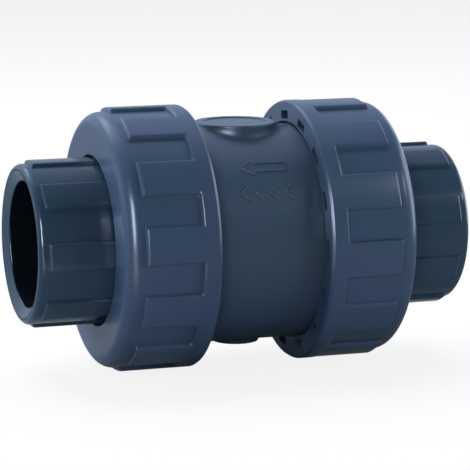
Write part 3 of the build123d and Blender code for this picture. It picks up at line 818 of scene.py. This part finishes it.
spot = join(tree, X=given["From"], Y=y, Z=z)
points = out(tree, "GeometryNodePoints", {"Count": count, "Position": spot})
placing = {"Points": points, "Instance": pin, "Rotation": join(tree, X=turn)}
pins = out(tree, "GeometryNodeInstanceOnPoints", placing)
pins = out(tree, "GeometryNodeRealizeInstances", {0: pins})
taken = {0: given["Geometry"], 1: pins}
cut = out(tree, "GeometryNodeMeshBoolean", taken, operation="DIFFERENCE", solver="MANIFOLD")
close_rule(tree, given, result, cut)

# %% [markdown]
# ## The union nuts
#
# Each nut is a cup with a coarse thread inside and a shoulder that pulls the socket's flange
# against the barrel. Twelve pads and a plain band make its grip. Its places along the pipe
# and its outer radius are measured from the box of the ready part: its mouth, its end and
# its largest radius. The lines of a blank lie close together only where a pad's side rises,
# and wide apart on the plain skin. The first cell serves the sockets too.

# %% Grips
GRIP_LINES = (-1.4, -1.1, -0.85, -0.62, -0.42, -0.26, -0.13, -0.04, 0.04, 0.25, 0.7)
GRIP_LINES = [line * MM for line in GRIP_LINES]  # across a pad's side, 0 at its foot
PLAIN_STEP = 4.0  # degrees between lines on the plain skin
SIDES = {1: "inlet", -1: "outlet"}
PIPE_END = frame_box[1].x


def grip_angles(count, first, half, skin):
    """Line angles round a blank, close together at the pads' sides."""
    pitch = radians(360) / count
    sides = [half + line / skin for line in GRIP_LINES]
    on_pad = [sides[0] * k / 3 for k in (-2, -1, 0, 1, 2)]
    gap = pitch - 2 * sides[-1]
    steps = max(2, round(math.degrees(gap) / PLAIN_STEP))
    off_pad = [sides[-1] + gap * k / steps for k in range(1, steps)]
    one = sorted([-s for s in sides] + on_pad + sides + off_pad)
    return [first + pitch * k + angle for k in range(count) for angle in one]


def skin_line(start, stops, end, skin):
    """Points along a straight skin, close together at each stop."""
    close_by = [stop + line for stop in stops for line in GRIP_LINES]
    between = [(a + b) / 2 for a, b in zip([start, *stops], [*stops, end])]
    return [(x, skin) for x in sorted(close_by + between)]


def gripped(corners, side, finish, count, turn, half, skin, **numbers):
    """A turned blank with its pads raised."""
    blank = turned(outline_of(corners), grip_angles(count, turn, half, skin), side)
    numbers |= {"Pitch": radians(360) / count, "Turn": turn, "Half_Width": half, "Skin": skin}
    return by_rule("raised_pads", blank, finish, **numbers)


print("lines to a pad's side:", len(GRIP_LINES))

# %% Nuts
low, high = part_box("inlet_union_nut")
NUT_MOUTH, NUT_END, NUT_CREST = low.x, high.x, high.z
NUT_PADS, NUT_PAD_HALF, NUT_PAD_HEIGHT = 12, radians(8.3), 1.7 * MM
NUT_SKIN = NUT_CREST - NUT_PAD_HEIGHT
NUT_PAD_INSET = 7.4 * MM
NUT_BAND_END, NUT_PAD_END = NUT_MOUTH + NUT_PAD_INSET, NUT_END - NUT_PAD_INSET
NUT_TURN = {1: radians(184.9), -1: radians(174.1)}
POCKET_TURN = {1: radians(181.0), -1: radians(189.9)}
POCKET_RING = NUT_CREST - 5.9 * MM
PIN_SPAN = (NUT_MOUTH - 1 * MM, NUT_MOUTH + 14 * MM)
END_ROUNDING = 5.4 * MM
THREAD_BORE, THREAD_LEAD, MOUTH_DEPTH = 43.0 * MM, 1.2 * MM, 2.7 * MM
FLANGE_RADIUS, FLANGE_PLAY, FLANGE_ROOM = 39.8 * MM, 0.8 * MM, 6.3 * MM
SHOULDER, SHOULDER_BORE = NUT_END - 6.3 * MM, 34.15 * MM

mouth_bore = THREAD_BORE + THREAD_LEAD
pocket_radius = FLANGE_RADIUS + FLANGE_PLAY
thread_end = SHOULDER - FLANGE_ROOM
nut_corners = [
    (NUT_MOUTH, mouth_bore, 0.4 * MM),
    (NUT_MOUTH, NUT_SKIN - 0.66 * MM, 0.2 * MM),
    (NUT_MOUTH + 1.1 * MM, NUT_SKIN, 0.25 * MM),
    *skin_line(NUT_MOUTH + 2 * MM, [NUT_BAND_END, NUT_PAD_END], NUT_END - 6 * MM, NUT_SKIN),
    (NUT_END, NUT_SKIN, END_ROUNDING),
    (NUT_END, SHOULDER_BORE, 0.5 * MM),
    (SHOULDER, SHOULDER_BORE),
    (SHOULDER, pocket_radius),
    (thread_end, pocket_radius),
    (thread_end - THREAD_LEAD, THREAD_BORE),
    (NUT_MOUTH + MOUTH_DEPTH, THREAD_BORE, 0.4 * MM),
    (NUT_MOUTH + MOUTH_DEPTH, mouth_bore),
]
nut_grip = {"Pad_End": NUT_PAD_END, "Band_End": NUT_BAND_END, "Height": NUT_PAD_HEIGHT}
for side, name in SIDES.items():
    pads = NUT_PADS, NUT_TURN[side], NUT_PAD_HALF, NUT_SKIN
    nut = gripped(nut_corners, side, "nut_plastic", *pads, **nut_grip)
    start, stop = sorted(side * end for end in PIN_SPAN)
    pins = {"Turn": POCKET_TURN[side], "Ring": POCKET_RING, "From": start, "To": stop}
    nut = by_rule("pin_pockets", nut, "nut_plastic", **pins)
    piece(f"{name}_nut_shell", nut, f"{name}_nut", "nut_plastic", 45, [f"{name}_union_nut"])

# %% [markdown]
# ## The pipe sockets
#
# Each socket is one moulding: a flange with a groove for its face seal, a hub with eight low
# pads, and a deep smooth bore into which the pipe is glued. The very end is a narrow cone
# that leads the pipe in, with a soft rounding outside. A stop inside keeps the pipe from
# going too deep.

# %% Sockets
low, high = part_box("inlet_end_connector")
FLANGE_FACE = low.x
FLANGE_BACK = FLANGE_FACE + 6.6 * MM
SOCKET_SKIN, SOCKET_PADS, SOCKET_PAD_HALF = 31.85 * MM, 8, radians(10.25)
SOCKET_PAD_END = PIPE_END - 3.7 * MM
SOCKET_TURN = {1: radians(161.7), -1: radians(180.6)}
SOCKET_BORE, STOP = 25.1 * MM, PIPE_END - 31 * MM
FLOW_RADIUS, FLOW_FLARE = 20 * MM, 7 * MM
GROOVE_INNER, GROOVE_OUTER = 34.55 * MM, 38.45 * MM
GROOVE_FLOOR = FLANGE_FACE + 3.3 * MM
CONE_RADIUS, CONE_END = 29.3 * MM, PIPE_END - 2.1 * MM

socket_corners = [
    (FLANGE_FACE, FLOW_RADIUS + FLOW_FLARE),
    (FLANGE_FACE, GROOVE_INNER),
    (GROOVE_FLOOR, GROOVE_INNER),
    (GROOVE_FLOOR, GROOVE_OUTER),
    (FLANGE_FACE, GROOVE_OUTER),
    (FLANGE_FACE, FLANGE_RADIUS, 0.8 * MM),
    (FLANGE_BACK, FLANGE_RADIUS, 0.8 * MM),
    (FLANGE_BACK, SOCKET_SKIN),
    *skin_line(FLANGE_BACK + 8 * MM, [SOCKET_PAD_END], PIPE_END - 3 * MM, SOCKET_SKIN),
    (PIPE_END, SOCKET_SKIN, 2.2 * MM),
    (PIPE_END, CONE_RADIUS, 0.6 * MM),
    (CONE_END, SOCKET_BORE, 0.8 * MM),
    (STOP, SOCKET_BORE, 0.6 * MM),
    (STOP, FLOW_RADIUS, 0.4 * MM),
    (FLANGE_FACE + FLOW_FLARE, FLOW_RADIUS, 2 * MM),
]
grip = {"Pad_End": SOCKET_PAD_END, "Band_End": 0.0, "Height": 1.4 * MM, "Edge": 1.1 * MM}
for side, name in SIDES.items():
    pads = SOCKET_PADS, SOCKET_TURN[side], SOCKET_PAD_HALF, SOCKET_SKIN
    socket = gripped(socket_corners, side, "connector_plastic", *pads, **grip)
    replaced = [f"{name}_end_connector"]
    piece(f"{name}_socket", socket, f"{name}_connector", "connector_plastic", 45, replaced)

# %% [markdown]
# ## Threads, spring and raised lines
#
# Three things on this valve are one small section drawn along a line: the coarse threads,
# the spring's wire, and the raised lines of the mark on the barrel. One rule sweeps any
# section along a helix: it places the points of the helix by number, lets the first and
# last turns run out or lie closed, and hands the line to Curve to Mesh. A second rule sweeps
# along flat lines, rounds their corners as a mould cutter does, and wraps the result round
# the barrel.

# %% Rule: winding
tree, given, result = rule(
    "winding",
    Turns=5.0, Steps=48.0, Start=0.0, Pitch=0.004, Radius=0.04, Phase=0.0, Run_Out=0.4,
    Tip=0.04, Closed=0.0, Closed_Pitch=0.0018,
)
steps = maths(tree, "ROUND", times(tree, given["Turns"], given["Steps"]))
count = out(tree, "FunctionNodeFloatToInt", {0: plus(tree, steps, 1.0)})
line = out(tree, "GeometryNodeMeshLine", {"Count": count})
line = out(tree, "GeometryNodeMeshToCurve", {0: line})
number = out(tree, "GeometryNodeInputIndex")
turns = times(tree, maths(tree, "DIVIDE", number, steps), given["Turns"])
left = minus(tree, given["Turns"], turns)
bearing = maths(tree, "MULTIPLY_ADD", turns, radians(360), given["Phase"])
ends = [maths(tree, "MINIMUM", value, given["Closed"]) for value in (turns, left)]
closed = minus(tree, plus(tree, ends[0], given["Closed"]), ends[1])
open_turns = minus(tree, turns, closed)
rise = times(tree, open_turns, given["Pitch"])
rise = plus(tree, rise, times(tree, closed, given["Closed Pitch"]))
x, y = polar(tree, bearing, given["Radius"])
spot = join(tree, X=x, Y=y, Z=plus(tree, rise, given["Start"]))
line = move(tree, line, Position=spot)
line = out(tree, "GeometryNodeSetCurveNormal", {"Curve": line}, mode="Z_UP")
section = out(tree, "GeometryNodeMeshToCurve", {0: given["Geometry"]})
to_tip = maths(tree, "MINIMUM", turns, left)
size = ramp(tree, to_tip, 0.0, given["Run Out"], given["Tip"], 1.0)
sweep = {"Curve": line, "Profile Curve": section, "Scale": size, "Fill Caps": True}
swept = out(tree, "GeometryNodeCurveToMesh", sweep)
upright = split(tree, place_on(tree))
laid = join(tree, X=upright["Z"], Y=upright["X"], Z=upright["Y"])
close_rule(tree, given, result, move(tree, swept, Position=laid))

# %% Sections


def section_of(points):
    """A closed flat outline, as a mesh of edges for a rule to sweep: (along, outward)."""
    mesh = bpy.data.meshes.new("section")
    size = len(points)
    edges = [(i, (i + 1) % size) for i in range(size)]
    mesh.from_pydata([(out, along, 0) for along, out in points], edges, [])
    return mesh


def ridge(base, crest, height, sunk):
    """A trapezoid section on a skin; a negative height points inwards."""
    foot = -math.copysign(sunk, height)
    points = [(-base / 2, foot), (-crest / 2, height), (crest / 2, height), (base / 2, foot)]
    return points if height > 0 else points[::-1]


# %% [markdown]
# ## The threads
#
# A 4 mm trapezoid thread, right-handed at both ends, ties nut and barrel: one nut turn moves
# the nut by one pitch. The barrel's ridge and the nut's ridge have the same size and sit half
# a pitch apart, so each runs in the middle of the other's groove.

# %% Threads
PITCH = 4 * MM
THREAD_BASE, THREAD_CREST = 2.6 * MM, 1.0 * MM
THREAD_HEIGHT, THREAD_SUNK = 2.0 * MM, 0.2 * MM
BODY_ROOT = 40.6 * MM
BODY_THREAD = (28.0 * MM, 44.8 * MM)
NUT_THREAD = (27.0 * MM, 44.6 * MM)

for side, name in SIDES.items():
    starts = [min(side * end for end in span) for span in (BODY_THREAD, NUT_THREAD)]
    shift = (starts[1] - starts[0] - PITCH / 2) / PITCH
    for owner, rider, span, start, root, height, phase in (
        ("body", "valve_body", BODY_THREAD, starts[0], BODY_ROOT, THREAD_HEIGHT, 0.0),
        ("nut", f"{name}_nut", NUT_THREAD, starts[1], THREAD_BORE, -THREAD_HEIGHT, shift),
    ):
        section = section_of(ridge(THREAD_BASE, THREAD_CREST, height, THREAD_SUNK))
        numbers = {"Start": start, "Pitch": PITCH, "Turns": (span[1] - span[0]) / PITCH}
        numbers |= {"Radius": root, "Phase": radians(360) * phase}
        mesh = by_rule("winding", section, f"{owner}_plastic", **numbers)
        piece(f"{name}_{owner}_thread", face_outwards(mesh), rider, f"{owner}_plastic", 30)

# %% [markdown]
# ## The spring
#
# A round stainless wire wound into an open coil, with one closed turn at each end so that it
# stands square on its seats. It is squeezed when the cone opens; here the wire rides on the
# barrel, with a mesh of its own.

# %% Spring
WIRE = 1.8 * MM
SPRING_TURNS = 7.0
low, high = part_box("return_spring")
free_rise = high.x - low.x - WIRE
closed_pitch = WIRE * 1.01  # closed turns just clear one another
open_pitch = (free_rise - 2 * closed_pitch) / (SPRING_TURNS - 2)
wire_angles = [radians(30 * k) for k in range(12)]
wire_section = [(WIRE / 2 * cos(a), WIRE / 2 * sin(a)) for a in wire_angles]
numbers = {"Turns": SPRING_TURNS, "Steps": 40, "Start": low.x + WIRE / 2}
numbers |= {"Pitch": open_pitch, "Radius": high.z - WIRE / 2, "Run_Out": 0.1, "Tip": 1.0}
numbers |= {"Closed": 1.0, "Closed_Pitch": closed_pitch}
mesh = by_rule("winding", section_of(wire_section), "stainless", **numbers)
mesh, replaced = face_outwards(mesh), ["return_spring"]
spring = piece("return_spring_wire", mesh, "valve_body", "stainless", 50, replaced)
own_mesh(spring)

# %% [markdown]
# ## The flow mark
#
# The mould's cutter left a raised mark on the front of the barrel: an outlined arrow that
# shows which way the valve lets water through, and a row of plain chevrons that repeats it.
# Each is a line drawn flat, in millimetres along the pipe and up round the barrel, and the
# rule gives it a soft raised section and wraps it onto the skin.

# %% Rule: raised lines
SHOULDER_WIDTH, SHOULDER_HEIGHT, TOP_WIDTH = 0.88, 0.72, 0.55  # shares of the whole

tree, given, result = rule(
    "raised_lines", Skin=0.0434, Half_Width=0.0004, Height=0.0005, Sunk=0.0003, Corner=0.0004
)
line = out(tree, "GeometryNodeMeshToCurve", {0: given["Geometry"]})
easing = {"Curve": line, "Count": 4, "Radius": given["Corner"], "Limit Radius": True}
line = out(tree, "GeometryNodeFilletCurve", easing, mode="POLY")
line = out(tree, "GeometryNodeSubdivideCurve", {"Curve": line, "Cuts": 3})
line = out(tree, "GeometryNodeSetCurveNormal", {"Curve": line}, mode="Z_UP")
shares = (1.0, SHOULDER_WIDTH, TOP_WIDTH)
right = [times(tree, given["Half Width"], share) for share in shares]
left = [times(tree, value, -1.0) for value in right]
shoulder = times(tree, given["Height"], SHOULDER_HEIGHT)
lifts = (times(tree, given["Sunk"], -1.0), shoulder, given["Height"])
down = [times(tree, value, -1.0) for value in lifts]
outline = [*zip(right, down), *reversed([*zip(left, down)])]
dots = out(tree, "GeometryNodeMeshCircle", {"Vertices": len(outline)})
section = out(tree, "GeometryNodeMeshToCurve", {0: dots})
number = out(tree, "GeometryNodeInputIndex")
for index, (x, y) in enumerate(outline):
    asked = {2: number, 3: index}  # the node's whole-number sockets
    chosen = out(tree, "FunctionNodeCompare", asked, data_type="INT", operation="EQUAL")
    section = move(tree, section, Selection=chosen, Position=join(tree, X=x, Y=y))
sweep = {"Curve": line, "Profile Curve": section, "Fill Caps": True}
flat = out(tree, "GeometryNodeCurveToMesh", sweep)
here = split(tree, place_on(tree))
bearing = maths(tree, "DIVIDE", here["Y"], given["Skin"])
radius = plus(tree, here["Z"], given["Skin"])
forward, upward = polar(tree, bearing, radius)
wrapped = join(tree, X=here["X"], Y=times(tree, forward, -1.0), Z=upward)
close_rule(tree, given, result, move(tree, flat, Position=wrapped))

# %% Flow mark
BARREL = 43.4 * MM
ARROW_RELIEF, CHEVRON_RELIEF = 0.36 * MM, 0.5 * MM
ARROW_ANGLE = radians(45.5)
ARROW_TIP, ARROW_NECK, ARROW_TAIL = -8.2, -2.5, 10.8
ARROW_HEAD, ARROW_SHAFT = 3.7, 1.9  # half of their widths
CHEVRON_ANGLE = radians(30.2)
CHEVRON_STARTS = (-10.0, -4.0, 2.0, 8.0)
CHEVRON_REACH, CHEVRON_HALF = 3.4, 3.2


def flat_lines(lines, closed, angle):
    """Lines in millimetres, (along the pipe, up from an angle on the barrel), as edges."""
    mesh = bpy.data.meshes.new("lines")
    verts, edges = [], []
    for line in lines:
        first, size = len(verts), len(line)
        verts += [(x * MM, v * MM + angle * BARREL, 0) for x, v in line]
        joints = size if closed else size - 1
        edges += [(first + i, first + (i + 1) % size) for i in range(joints)]
    mesh.from_pydata(verts, edges, [])
    return mesh


upper = [(ARROW_NECK, ARROW_HEAD), (ARROW_NECK, ARROW_SHAFT), (ARROW_TAIL, ARROW_SHAFT)]
arrow = [(ARROW_TIP, 0), *upper, *[(x, -v) for x, v in reversed(upper)]]
chevrons = [
    [(x + CHEVRON_REACH, CHEVRON_HALF), (x, 0), (x + CHEVRON_REACH, -CHEVRON_HALF)]
    for x in CHEVRON_STARTS
]
for name, lines, closed, angle, relief in (
    ("flow_arrow", [arrow], True, ARROW_ANGLE, ARROW_RELIEF),
    ("flow_chevrons", chevrons, False, CHEVRON_ANGLE, CHEVRON_RELIEF),
):
    lines = flat_lines(lines, closed, angle)
    mesh = by_rule("raised_lines", lines, "body_plastic", Skin=BARREL, Height=relief)
    piece(name, face_outwards(mesh), "valve_body", "body_plastic", 50)
